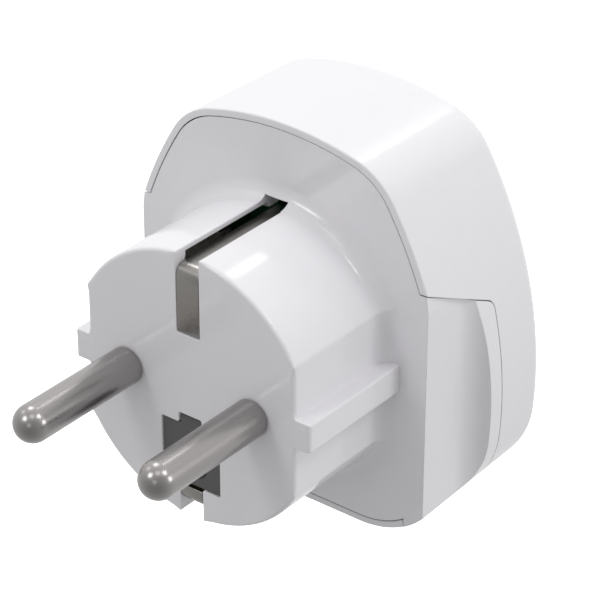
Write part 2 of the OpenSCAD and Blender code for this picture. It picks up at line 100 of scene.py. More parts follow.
# Pins and earth contacts, in mm
PIN_X = 9.5
PIN_RADIUS = 2.4
PIN_LENGTH = 19.0
PIN_WAIST = 2.0
PIN_SHOULDER = 0.2
PIN_FLANGE = 3.2
PIN_TAIL_RADIUS = 1.5
PIN_TAIL = 3.1
STRIP_HALF = 1.65
STRIP_THICKNESS = 0.8
STRIP_LEVEL = 16.3
STRIP_FRONT = 0.05
STRIP_BEND = 1.4
STRIP_EDGE = 0.07
STRIP_REACH = 0.24
BLADE_START = 19.9
EARTH_HOLE_LEVEL = -10.0
EARTH_HOLE_RADIUS = 2.5
CONTACT_FRONT = 0.2
CONTACT_BACK = 0.9
CONTACT_HALF = 4.3
CONTACT_LOW = -13.4
CONTACT_HIGH = -5.2
CONTACT_LIP_HALF = 1.6
CONTACT_LIP = -4.05
CONTACT_LIP_BACK = 2.4
CONTACT_TUBE_END = 14.5
CONTACT_TUBE_RADIUS = 3.1
CONTACT_EDGE = 0.06
CONTACT_REACH = 0.12
LIP_BEND = 0.6
LIP_SINK = 0.5

# Front face, in mm
BOWL_OPENING = 20.6
WINDOW_LOW_CORNER = (-6.5, 21.6)
WINDOW_HIGH_CORNER = (6.5, 25.6)
BUTTON_AT = (12.6, 20.6)
BUTTON_OPENING = 1.88
BUTTON_RADIUS = 1.8
BUTTON_TOP = 38.5
BUTTON_BACK = 35.05
BUTTON_FLANGE = 2.15
BUTTON_FLANGE_THICKNESS = 1.0
BUTTON_EDGE = 0.3
LIGHT_AT = (8.9, 22.9)
LIGHT_OPENING = 0.95

# Side wings with their finger grips, in mm
WING_FRONT = 29.05
WING_TOP = 12.3
WING_SLOPE = 0.449
WING_CORNER = 1.6
WING_INNER = 18.95
GRIP_FLOOR = 21.75
GRIP_FLOOR_FRONT = 22.0
GRIP_CURVE_START = 23.4
GRIP_CURVE = 3.3
GRIP_TOP = 10.1
GRIP_LEAN = 0.13
GRIP_RISE = 5.0

FAR = 60.0
CLEAR = 5.0
MICRO_EDGE = 0.12 * MM
FLOOR_LEVEL = -0.2
FLOOR_SIZE = 12.0

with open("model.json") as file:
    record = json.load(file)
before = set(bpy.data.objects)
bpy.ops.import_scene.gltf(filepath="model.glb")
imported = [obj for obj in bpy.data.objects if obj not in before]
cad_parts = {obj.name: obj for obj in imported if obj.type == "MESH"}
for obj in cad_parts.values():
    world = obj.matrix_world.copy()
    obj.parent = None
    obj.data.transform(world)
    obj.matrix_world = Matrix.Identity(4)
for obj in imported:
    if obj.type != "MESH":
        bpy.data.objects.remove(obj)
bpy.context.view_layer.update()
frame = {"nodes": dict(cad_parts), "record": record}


# ---------- outlines ----------

def arc(centre, radius, start, end, count):
    """Points on an arc, from one angle to another in radians."""
    turn = np.linspace(start, end, count)
    return np.stack([centre[0] + radius * np.cos(turn), centre[1] + radius * np.sin(turn)], 1)


def crossing(first, first_radius, second, second_radius):
    """The point at those distances from two centres, on the right of the line between them."""
    across = np.subtract(second, first)
    gap = np.hypot(*across)
    along = (gap**2 + first_radius**2 - second_radius**2) / (2 * gap)
    aside = math.sqrt(first_radius**2 - along**2)
    unit = across / gap
    options = [np.add(first, along * unit + side * aside * np.array([-unit[1], unit[0]])) for side in (-1, 1)]
    return max(options, key=lambda point: point[0] + 0.3 * point[1])


SIDE_CENTRE = (WIDEST - SIDE_BOW, WIDEST_LEVEL)
TOP_CENTRE = (0.0, TOP - TOP_BOW)
TOP_CORNER_AT = crossing(SIDE_CENTRE, SIDE_BOW - TOP_CORNER, TOP_CENTRE, TOP_BOW - TOP_CORNER)
BOTTOM_CORNER_LEVEL = BOTTOM + BOTTOM_CORNER
BOTTOM_CORNER_AT = (
    SIDE_CENTRE[0] + math.sqrt((SIDE_BOW - BOTTOM_CORNER) ** 2 - (BOTTOM_CORNER_LEVEL - WIDEST_LEVEL) ** 2),
    BOTTOM_CORNER_LEVEL,
)


def angle(centre, point):
    return math.atan2(point[1] - centre[1], point[0] - centre[0])


def housing(inset):
    """The housing's outline drawn in by inset, with the same number of points for every inset."""
    low = angle(SIDE_CENTRE, BOTTOM_CORNER_AT)
    high = angle(SIDE_CENTRE, TOP_CORNER_AT)
    crown = angle(TOP_CENTRE, TOP_CORNER_AT)
    straight = np.stack([np.linspace(0, BOTTOM_CORNER_AT[0], 20), np.full(20, BOTTOM + inset)], 1)
    half = np.concatenate([
        straight[:-1],
        arc(BOTTOM_CORNER_AT, BOTTOM_CORNER - inset, -math.pi / 2, low, 60)[:-1],
        arc(SIDE_CENTRE, SIDE_BOW - inset, low, high, 90)[:-1],
        arc(TOP_CORNER_AT, TOP_CORNER - inset, high, crown, 36)[:-1],
        arc(TOP_CENTRE, TOP_BOW - inset, crown, math.pi / 2, 30),
    ])
    return np.concatenate([half, (half * [-1, 1])[-2:0:-1]])


def polar(radius, x):
    """The height of a circle at a sideways distance."""
    return math.sqrt(radius**2 - x**2)


def plug_pieces():
    """The plug's outline as pieces between corners."""
    radius, flat = PLUG_RADIUS, PLUG_FLAT
    rib_end = polar(radius, RIB)
    corner = math.acos(flat / radius)
    notch = math.acos(GROOVE / radius)
    return [
        line((flat, RIB), (flat, polar(radius, flat)), 30),
        arc((0, 0), radius, corner, notch, 140),
        line((GROOVE, polar(radius, GROOVE)), (GROOVE, TOP_GROOVE_END), 40),
        line((GROOVE, TOP_GROOVE_END), (-GROOVE, TOP_GROOVE_END), 14),
        line((-GROOVE, TOP_GROOVE_END), (-GROOVE, polar(radius, GROOVE)), 40),
        arc((0, 0), radius, math.pi - notch, math.pi - corner, 140),
        line((-flat, polar(radius, flat)), (-flat, RIB), 30),
        line((-flat, RIB), (-rib_end, RIB), 14),
        line((-rib_end, RIB), (-rib_end, -RIB), 18),
        line((-rib_end, -RIB), (-flat, -RIB), 14),
        line((-flat, -RIB), (-flat, -polar(radius, flat)), 30),
        arc((0, 0), radius, math.pi + corner, math.pi + notch, 140),
        line((-GROOVE, -polar(radius, GROOVE)), (-GROOVE, WINDOW_BOTTOM), 24),
        line((-GROOVE, WINDOW_BOTTOM), (-WINDOW_HALF, WINDOW_BOTTOM), 14),
        line((-WINDOW_HALF, WINDOW_BOTTOM), (-WINDOW_HALF, WINDOW_TOP), 24),
        line((-WINDOW_HALF, WINDOW_TOP), (-GROOVE, WINDOW_TOP), 14),
        line((-GROOVE, WINDOW_TOP), (-GROOVE, BOTTOM_SLOT_END), 10),
        line((-GROOVE, BOTTOM_SLOT_END), (GROOVE, BOTTOM_SLOT_END), 14),
        line((GROOVE, BOTTOM_SLOT_END), (GROOVE, WINDOW_TOP), 10),
        line((GROOVE, WINDOW_TOP), (WINDOW_HALF, WINDOW_TOP), 14),
        line((WINDOW_HALF, WINDOW_TOP), (WINDOW_HALF, WINDOW_BOTTOM), 24),
        line((WINDOW_HALF, WINDOW_BOTTOM), (GROOVE, WINDOW_BOTTOM), 14),
        line((GROOVE, WINDOW_BOTTOM), (GROOVE, -polar(radius, GROOVE)), 24),
        arc((0, 0), radius, 2 * math.pi - notch, 2 * math.pi - corner, 140),
        line((flat, -polar(radius, flat)), (flat, -RIB), 30),
        line((flat, -RIB), (rib_end, -RIB), 14),
        line((rib_end, -RIB), (rib_end, RIB), 18),
        line((rib_end, RIB), (flat, RIB), 14),
    ]


def line(start, end, count):
    return np.linspace(start, end, count)


def crowded(count):
    """Shares from 0 to 1 that crowd together at both ends."""
    even = np.linspace(0, 1, count)
    return even - 0.145 * np.sin(2 * np.pi * even)


def softened(pieces, reach):
    """The closed outline of these pieces with its corners rounded, and its outward normals."""
    lengths = [np.hypot(*np.diff(piece, axis=0).T).sum() for piece in pieces]
    starts = np.concatenate([[0], np.cumsum(lengths)])
    stations = np.concatenate([
        start + length * crowded(len(piece))[:-1] for start, length, piece in zip(starts, lengths, pieces)
    ])
    path = np.concatenate([piece[:-1] for piece in pieces] + [pieces[0][:1]])
    places = np.concatenate([[0], np.cumsum(np.hypot(*np.diff(path, axis=0).T))])
    total = places[-1]

    def at(where):
        where = np.mod(where, total)
        return np.stack([np.interp(where, places, path[:, axis]) for axis in (0, 1)], 1)

    offsets = np.linspace(-1, 1, 41)
    weights = np.minimum(1, 2.5 - 2.2 * np.abs(offsets))
    weights /= weights.sum()
    points = sum(weight * at(stations + reach * offset) for weight, offset in zip(weights, offsets))
    slope = sum(
        weight * (at(stations + reach * offset + 1e-3) - at(stations + reach * offset - 1e-3))
        for weight, offset in zip(weights, offsets)
    )
    slope /= np.maximum(np.hypot(*slope.T), 1e-12)[:, None]
    return points, np.stack([slope[:, 1], -slope[:, 0]], 1)


# ---------- meshes ----------

def level(points, depth):
    """An outline in X and Z placed at a depth, or at one depth for each point."""
    return np.stack([points[:, 0], np.broadcast_to(depth, len(points)), points[:, 1]], 1)


def cap(outline):
    """Triangles that fill a closed outline, as indices of its points."""
    count = len(outline)
    edges = [(i, (i + 1) % count) for i in range(count)]
    flat = [Vector(map(float, point)) for point in outline]
    _, _, faces, origins, _, _ = delaunay_2d_cdt(flat, edges, [], 1, 1e-9)
    if not all(origins):
        raise ValueError("an outline crosses itself")
    return [tuple(origins[corner][0] for corner in face) for face in faces]


def loft(name, rings, plane=(0, 2)):
    """A closed mesh through rings of equal length, in mm, with caps seen along the plane's two axes."""
    count = len(rings[0])
    mesh = bpy.data.meshes.new(name)
    index = np.arange(count)
    after = (index + 1) % count
    last = count * (len(rings) - 1)
    faces = cap(rings[0][:, plane])
    faces += [tuple(corner + last for corner in face) for face in cap(rings[-1][:, plane])]
    for step in range(len(rings) - 1):
        near, far = step * count, (step + 1) * count
        faces += list(zip(index + near, index + far, after + far, after + near))
    mesh.from_pydata((np.concatenate(rings) * MM).tolist(), [], [tuple(map(int, face)) for face in faces])
    return finished(name, mesh)


def finished(name, mesh):
    """An object for a mesh, its normals outward."""
    work = bmesh.new()
    work.from_mesh(mesh)
    bmesh.ops.recalc_face_normals(work, faces=work.faces)
    work.to_mesh(mesh)
    work.free()
    piece = bpy.data.objects.new(name, mesh)
    bpy.context.scene.collection.objects.link(piece)
    return piece


def block(low, high):
    """A plain box for cutting, in mm."""
    corners = np.array([[low[0], low[2]], [high[0], low[2]], [high[0], high[2]], [low[0], high[2]]])
    return loft("cutter", [level(corners, low[1]), level(corners, high[1])])


def rod(radius, start, end, at=(0, 0), count=96):
    """A plain cylinder along Y for cutting, in mm."""
    points = arc(at, radius, 0, 2 * math.pi, count + 1)[:-1]
    return loft("cutter", [level(points, start), level(points, end)])


def combine(target, operation, *others):
    """Cuts, joins or intersects target with the others, which are used up."""
    for other in others:
        modifier = target.modifiers.new("combine", "BOOLEAN")
        modifier.operation = operation
        modifier.solver = "EXACT"
        modifier.object = other
        evaluated = target.evaluated_get(bpy.context.evaluated_depsgraph_get())
        mesh = bpy.data.meshes.new_from_object(evaluated)
        target.modifiers.clear()
        target.data = mesh
        bpy.data.objects.remove(other)
    return target


def smooth(piece, limit=28.0):
    """Smooth shading that keeps edges sharper than limit, with flat faces kept flat."""
    work = bmesh.new()
    work.from_mesh(piece.data)
    bmesh.ops.remove_doubles(work, verts=work.verts, dist=2e-7)
    bmesh.ops.dissolve_degenerate(work, edges=work.edges, dist=1e-7)
    work.to_mesh(piece.data)
    work.free()
    piece.data.polygons.foreach_set("use_smooth", [True] * len(piece.data.polygons))
    piece.data.set_sharp_from_angle(angle=math.radians(limit))
    weighted = piece.modifiers.new("flat faces", "WEIGHTED_NORMAL")
    weighted.keep_sharp = True
    weighted.weight = 50
    return piece


# ---------- housing ----------

def narrowing(depth):
    """How far the housing has drawn in at a depth, from its mould's draft."""
    return DRAFT * (depth - PLATE) / (FRONT - PLATE)


def housing_shell(name, inset, rear, front, rear_edge, front_edge):
    """The housing's outline run along the plug, with rounded edges at both ends."""
    def ring(depth, sink):
        return level(housing(inset + narrowing(depth) + sink), depth)

    rear_turns = np.linspace(math.pi / 2, 0, 7) if rear_edge else [0]
    front_turns = np.linspace(0, math.pi / 2, 15) if front_edge else [0]
    rings = [
        ring(rear + rear_edge * (1 - math.sin(turn)), rear_edge * (1 - math.cos(turn))) for turn in rear_turns
    ]
    for share in np.linspace(0, 1, 12)[1:-1]:
        rings.append(ring(rear + rear_edge + share * (front - front_edge - rear - rear_edge), 0))
    for turn in front_turns:
        rings.append(ring(front - front_edge * (1 - math.sin(turn)), front_edge * (1 - math.cos(turn))))
    return loft(name, rings)


def wing_side(grow):
    """Side view of a wing, in Y and Z, as a polygon with one rounded corner."""
    margin = WING_CORNER + grow
    top = WING_TOP + grow * math.hypot(1, WING_SLOPE)
    front = WING_FRONT + grow
    tilt = math.atan(WING_SLOPE)
    centre = (front - margin, 0.0)
    rise = top - WING_SLOPE * (centre[0] - PLATE) - margin * math.hypot(1, WING_SLOPE)
    corner = arc((centre[0], rise), margin, math.pi / 2 - tilt, 0, 16)
    return np.concatenate([
        [[PLATE - 5, top + WING_SLOPE * 5]],
        corner,
        [[front, -FAR], [PLATE - 5, -FAR]],
    ])


def prism_x(outline, start, end):
    """A polygon in Y and Z run along X, for cutting."""
    rings = [np.stack([np.full(len(outline), x), outline[:, 0], outline[:, 1]], 1) for x in (start, end)]
    return loft("cutter", rings, (1, 2))


def grip_cutter(side):
    """What the finger grip takes from the wing on one side. Its top leans inward."""
    curve_centre = np.array([GRIP_FLOOR_FRONT + GRIP_CURVE, GRIP_CURVE_START])
    curve = arc(curve_centre, GRIP_CURVE, math.pi, math.pi / 2, 40)
    points = np.concatenate([
        [[GRIP_FLOOR - (GRIP_FLOOR_FRONT - GRIP_FLOOR), PLATE - (GRIP_CURVE_START - PLATE)]],
        curve,
        [[FAR, GRIP_CURVE_START + GRIP_CURVE], [FAR, PLATE - (GRIP_CURVE_START - PLATE)]],
    ])
    upper = GRIP_TOP - WING_SLOPE * (points[:, 1] - PLATE)
    rings = [
        np.stack([side * (points[:, 0] - drop), points[:, 1], height], 1)
        for height, drop in (
            (np.full(len(points), -FAR), 0),
            (upper, 0),
            (upper + GRIP_RISE, GRIP_RISE * GRIP_LEAN),
        )
    ]
    return loft("cutter", rings, (0, 1))


def faded_edge(distance, reach):
    """Edge rounding that grows from fine to full over a distance."""
    return FINE_EDGE + (FACE_EDGE - FINE_EDGE) * np.clip(distance / reach, 0, 1)


def plug_body():
    """The plug: rounded face edge, ribs, grooves and window, run on a little past the plate's face."""
    points, normals = softened(plug_pieces(), CORNER_REACH)
    on_round = np.abs(np.hypot(*points.T) - PLUG_RADIUS) < 0.3
    on_flat = np.abs(np.abs(points[:, 0]) - PLUG_FLAT) < 0.1
    edge = np.where(on_round | on_flat, FACE_EDGE, FINE_EDGE)
    from_groove = np.abs(points[:, 0]) - GROOVE
    near_groove = on_round & (from_groove < EDGE_FADE_GROOVE)
    edge = np.where(near_groove, faded_edge(from_groove, EDGE_FADE_GROOVE), edge)
    from_rib = np.abs(points[:, 1]) - RIB
    near_rib = on_flat & (from_rib < EDGE_FADE_RIB)
    edge = np.where(near_rib, faded_edge(from_rib, EDGE_FADE_RIB), edge)
    corner_level = polar(PLUG_RADIUS, PLUG_FLAT)
    from_corner = np.hypot(np.abs(points[:, 0]) - PLUG_FLAT, np.abs(points[:, 1]) - corner_level)
    share = np.clip(from_corner / EDGE_FADE_GROOVE, 0, 1)
    edge = np.minimum(edge, EDGE_AT_CORNER + (FACE_EDGE - EDGE_AT_CORNER) * share)
    rings = []
    for turn in np.linspace(0, math.pi / 2, 8):
        inward = points - normals * (edge * (1 - math.sin(turn)))[:, None]
        rings.append(level(inward, edge * (1 - math.cos(turn))))
    for depth in np.linspace(FACE_EDGE, PLATE - ROOT_BLEND, 14)[1:]:
        rings.append(level(points, depth))
    rings.append(level(points, PLATE + ROOT_OVERLAP))
    return loft("plug", rings)


def root_collar():
    """The concave blend between the plug's walls and the back plate."""
    rings = []
    for turn in np.linspace(0, math.pi / 2, 16):
        spread = ROOT_BLEND * (1 - math.cos(turn)) - BLEND_SINK
        radius, flat = PLUG_RADIUS + spread, PLUG_FLAT + spread
        corner = math.acos(flat / radius)
        height = polar(radius, flat)
        points, _ = softened([
            arc((0, 0), radius, corner, math.pi - corner, 200),
            line((-flat, height), (-flat, -height), 60),
            arc((0, 0), radius, math.pi + corner, 2 * math.pi - corner, 200),
            line((flat, -height), (flat, height), 60),
        ], CORNER_REACH)
        rings.append(level(points, PLATE - ROOT_BLEND * (1 - math.sin(turn)) + BLEND_SINK))
    rings.append(level(points, PLATE + ROOT_OVERLAP))
    return loft("collar", rings)


def d_section(radius, flat, start, end):
    """A round bar with two flats, for cutting."""
    corner = math.acos(flat / radius)
    points = np.concatenate([
        arc((0, 0), radius, corner, math.pi - corner, 60),
        arc((0, 0), radius, math.pi + corner, 2 * math.pi - corner, 60),
    ])
    return loft("cutter", [level(points, start), level(points, end)])


def undercut(side):
    """The pocket under the lips of an earth groove."""
    reach = math.asin(UNDERCUT_HALF / UNDERCUT_RADIUS)
    points = np.concatenate([
        arc((0, 0), UNDERCUT_RADIUS, math.pi / 2 - reach, math.pi / 2 + reach, 40),
        [[-UNDERCUT_HALF, UNDERCUT_DEPTH], [UNDERCUT_HALF, UNDERCUT_DEPTH]],
    ]) * [1, side]
    return loft("cutter", [level(points, FACE_WALL + 0.1), level(points, PLATE)])


def rear_housing():
    """The rear shell: plug, back plate and the two wings with their grips."""
    plate = housing_shell("rear_housing", RIM + SEAM / 2, PLATE, PLATE_INSIDE, 0.08, 0)
    combine(plate, "INTERSECT", block((-GRIP_FLOOR, 0, -FAR), (GRIP_FLOOR, FAR, FAR)))
    for side in (-1, 1):
        wing = housing_shell("wing", 0, PLATE, WING_FRONT + 2, 0.08, 0)
        combine(wing, "INTERSECT", prism_x(wing_side(-SEAM / 2), side * WING_INNER, side * FAR))
        combine(wing, "DIFFERENCE", grip_cutter(side))
        inner = housing_shell("cutter", WING_WALL, PLATE_INSIDE, WING_FRONT + WING_OVERRUN, 0, 0)
        combine(wing, "DIFFERENCE", inner)
        combine(plate, "UNION", wing)
    combine(plate, "UNION", plug_body(), root_collar())
    combine(plate, "DIFFERENCE", d_section(INNER_RADIUS, INNER_FLAT, FACE_WALL, PLATE_INSIDE + 1))
    combine(plate, "DIFFERENCE", undercut(1), undercut(-1))
    inner_end = INNER_RADIUS - MOUTH_OVERLAP
    half = GROOVE - MOUTH_GAP
    for low, high in ((inner_end, GROOVE_TOP), (-GROOVE_TOP, -inner_end)):
        combine(plate, "DIFFERENCE", block((-half, PLATE - MOUTH_START, low), (half, PLATE_INSIDE + 1, high)))
    for side in (-1, 1):
        hole = rod(PIN_WAIST + PIN_HOLE_GAP, -1, FACE_WALL + HOLE_OVERRUN, (side * PIN_X, 0))
        combine(plate, "DIFFERENCE", hole)
    return smooth(plate)


def hood():
    """The front hood: rim around the back plate, outer wall and front face."""
    shell = housing_shell("hood", 0, PLATE, FRONT, REAR_EDGE, FRONT_EDGE)
    inside = housing_shell("cutter", HOOD_WALL, PLATE + HOOD_LEDGE, FRONT - HOOD_WALL, 0, HOOD_INNER_EDGE)
    opening = housing_shell("cutter", RIM - SEAM / 2, PLATE - 2, PLATE + 3, 0, 0)
    for side in (-1, 1):
        combine(shell, "DIFFERENCE", prism_x(wing_side(SEAM / 2), side * (WING_INNER - SEAM), side * FAR))
    combine(shell, "DIFFERENCE", opening, inside)
    low, high = WINDOW_LOW_CORNER, WINDOW_HIGH_CORNER
    back, out = FRONT - CLEAR, FRONT + CLEAR
    combine(shell, "DIFFERENCE", rod(BOWL_OPENING, back, out, count=192))
    combine(shell, "DIFFERENCE", block((low[0], back, low[1]), (high[0], out, high[1])))
    for side in (-1, 1):
        for radius, at in ((BUTTON_OPENING, BUTTON_AT), (LIGHT_OPENING, LIGHT_AT)):
            combine(shell, "DIFFERENCE", rod(radius, back, out, (side * at[0], at[1])))
    return smooth(shell)


def lathe(name, profile, at=(0, 0), count=128):
    """A closed mesh turned about a line along Y, from (radius, depth) pairs that start and end on it."""
    turns = np.linspace(0, 2 * math.pi, count + 1)[:-1]
    inner = [pair for pair in profile if pair[0] > 1e-6]
    rings = [
        np.stack([at[0] + radius * np.cos(turns), np.full(count, depth), at[1] + radius * np.sin(turns)], 1)
        for radius, depth in inner
    ]
    ends = [[at[0], profile[0][1], at[1]], [at[0], profile[-1][1], at[1]]]
    first, last = count * len(inner), count * len(inner) + 1
    final = count * (len(inner) - 1)
    faces = []
    for step in range(len(inner) - 1):
        for i in range(count):
            j = (i + 1) % count
            faces.append((step * count + i, (step + 1) * count + i, (step + 1) * count + j, step * count + j))
    for i in range(count):
        j = (i + 1) % count
        faces.append((first, i, j))
        faces.append((last, final + j, final + i))
    mesh = bpy.data.meshes.new(name)
    mesh.from_pydata((np.concatenate(rings + [np.array(ends)]) * MM).tolist(), [], faces)
    return finished(name, mesh)


def slab_x(name, pieces, half, edge, reach):
    """An outline in Y and Z run from -half to half along X, with rounded edges."""
    points, normals = softened(pieces, reach)
    rings = []
    for side in (-1, 1):
        turns = np.linspace(0, math.pi / 2, 5)
        for turn in turns if side < 0 else turns[::-1]:
            inward = points - normals * edge * (1 - math.sin(turn))
            x = side * (half - edge * (1 - math.cos(turn)))
            rings.append(np.stack([np.full(len(points), x), inward[:, 0], inward[:, 1]], 1))
    return loft(name, rings, (1, 2))


def pin(name, side):
    """A turned pin: round tip, shank, a step at the plug's face, and its flange and tail inside."""
    tip = [
        (PIN_RADIUS * math.sin(turn), PIN_RADIUS - PIN_LENGTH - PIN_RADIUS * math.cos(turn))
        for turn in np.linspace(0, math.pi / 2, 28)
    ]
    depths = np.linspace(PIN_RADIUS - PIN_LENGTH, -PIN_SHOULDER - 0.15, 30)
    shank = [(PIN_RADIUS, depth) for depth in depths[1:]]
    rest = [
        (PIN_RADIUS - 0.05, -PIN_SHOULDER - 0.04),
        (PIN_RADIUS - 0.15, -PIN_SHOULDER),
        (PIN_WAIST, -PIN_SHOULDER),
        (PIN_WAIST, FACE_WALL),
        (PIN_FLANGE, FACE_WALL),
        (PIN_FLANGE, FACE_WALL + 0.8),
        (PIN_TAIL_RADIUS, FACE_WALL + 0.8),
        (PIN_TAIL_RADIUS, PIN_TAIL),
        (0, PIN_TAIL),
    ]
    return smooth(lathe(name, tip + shank + rest, (side * PIN_X, 0)))


def earth_strip(name, start, side):
    """A bent earth strip: face band, bend, and the blade that reaches into the socket."""
    inner = STRIP_LEVEL - STRIP_THICKNESS
    back = STRIP_FRONT + STRIP_THICKNESS
    centre = (STRIP_FRONT + STRIP_BEND, STRIP_LEVEL - STRIP_BEND)
    corner = STRIP_LEVEL - STRIP_BEND
    blade = [
        (BLADE_START, STRIP_LEVEL), (30, inner + 0.5), (30.8, inner + 0.65), (33.1, inner + 2.8),
        (33.6, inner + 2.2), (31.2, inner - 0.1), (30, inner - 0.3), (BLADE_START, inner),
    ]
    pieces = [
        line((STRIP_FRONT, start), (STRIP_FRONT, corner), 30),
        arc(centre, STRIP_BEND, math.pi, math.pi / 2, 26),
        line((centre[0], STRIP_LEVEL), blade[0], 30),
        *[line(a, b, 10) for a, b in zip(blade, blade[1:])],
        line(blade[-1], (centre[0], inner), 30),
        arc(centre, STRIP_BEND - STRIP_THICKNESS, math.pi / 2, math.pi, 16),
        line((back, corner), (back, start), 30),
        line((back, start), (STRIP_FRONT, start), 10),
    ]
    if side > 0:
        pieces = [piece[::-1] for piece in pieces[::-1]]
    pieces = [piece * [1, side] for piece in pieces]
    return smooth(slab_x(name, pieces, STRIP_HALF, STRIP_EDGE, STRIP_REACH))


def contact_plate():
    """The lower contact plate: a flat with a bent lip, and the tube for the earth pin."""
    root = CONTACT_LIP - LIP_SINK
    pieces = [
        line((CONTACT_HALF, CONTACT_LOW), (CONTACT_HALF, CONTACT_HIGH), 20),
        line((CONTACT_HALF, CONTACT_HIGH), (CONTACT_LIP_HALF, CONTACT_HIGH), 12),
        line((CONTACT_LIP_HALF, CONTACT_HIGH), (CONTACT_LIP_HALF, root), 10),
        line((CONTACT_LIP_HALF, root), (-CONTACT_LIP_HALF, root), 12),
        line((-CONTACT_LIP_HALF, root), (-CONTACT_LIP_HALF, CONTACT_HIGH), 10),
        line((-CONTACT_LIP_HALF, CONTACT_HIGH), (-CONTACT_HALF, CONTACT_HIGH), 12),
        line((-CONTACT_HALF, CONTACT_HIGH), (-CONTACT_HALF, CONTACT_LOW), 20),
        line((-CONTACT_HALF, CONTACT_LOW), (CONTACT_HALF, CONTACT_LOW), 20),
    ]
    points, normals = softened(pieces, CONTACT_REACH)
    rings = []
    for turn in np.linspace(0, math.pi / 2, 5):
        inward = points - normals * CONTACT_EDGE * (1 - math.sin(turn))
        rings.append(level(inward, CONTACT_FRONT + CONTACT_EDGE * (1 - math.cos(turn))))
    rings.append(level(points, CONTACT_BACK))
    plate = loft("contact_plate", rings)
    bend = CONTACT_LIP - LIP_BEND
    turns = arc((CONTACT_FRONT + LIP_BEND, bend), LIP_BEND, math.pi, math.pi / 2, 12)
    lip = np.concatenate([
        [[CONTACT_FRONT, bend - 0.4]],
        turns,
        [[CONTACT_LIP_BACK, CONTACT_LIP], [CONTACT_LIP_BACK, bend - 0.1]],
        [[CONTACT_BACK - 0.05, bend - 0.1], [CONTACT_BACK - 0.05, bend - 0.4]],
    ])
    combine(plate, "UNION", prism_x(lip, -CONTACT_LIP_HALF + 0.01, CONTACT_LIP_HALF - 0.01))
    centre = (0, EARTH_HOLE_LEVEL)
    combine(plate, "UNION", rod(CONTACT_TUBE_RADIUS, CONTACT_BACK - 0.2, CONTACT_TUBE_END, centre))
    combine(plate, "DIFFERENCE", rod(EARTH_HOLE_RADIUS, -1, CONTACT_TUBE_END + 1, centre))
    return smooth(plate)


def button(name, side):
    """A round button with a softened cap and a flange that keeps it inside the hood."""
    cap_edge = [
        (BUTTON_RADIUS - BUTTON_EDGE * (1 - math.sin(turn)), BUTTON_TOP - BUTTON_EDGE * (1 - math.cos(turn)))
        for turn in np.linspace(0, math.pi / 2, 8)
    ]
    flange_top = BUTTON_BACK + BUTTON_FLANGE_THICKNESS
    profile = [
        (0, BUTTON_TOP),
        *cap_edge,
        (BUTTON_RADIUS, flange_top),
        (BUTTON_FLANGE, flange_top),
        (BUTTON_FLANGE, BUTTON_BACK),
        (0, BUTTON_BACK),
    ]
    return smooth(lathe(name, profile, (side * BUTTON_AT[0], BUTTON_AT[1])))


# ---------- materials ----------

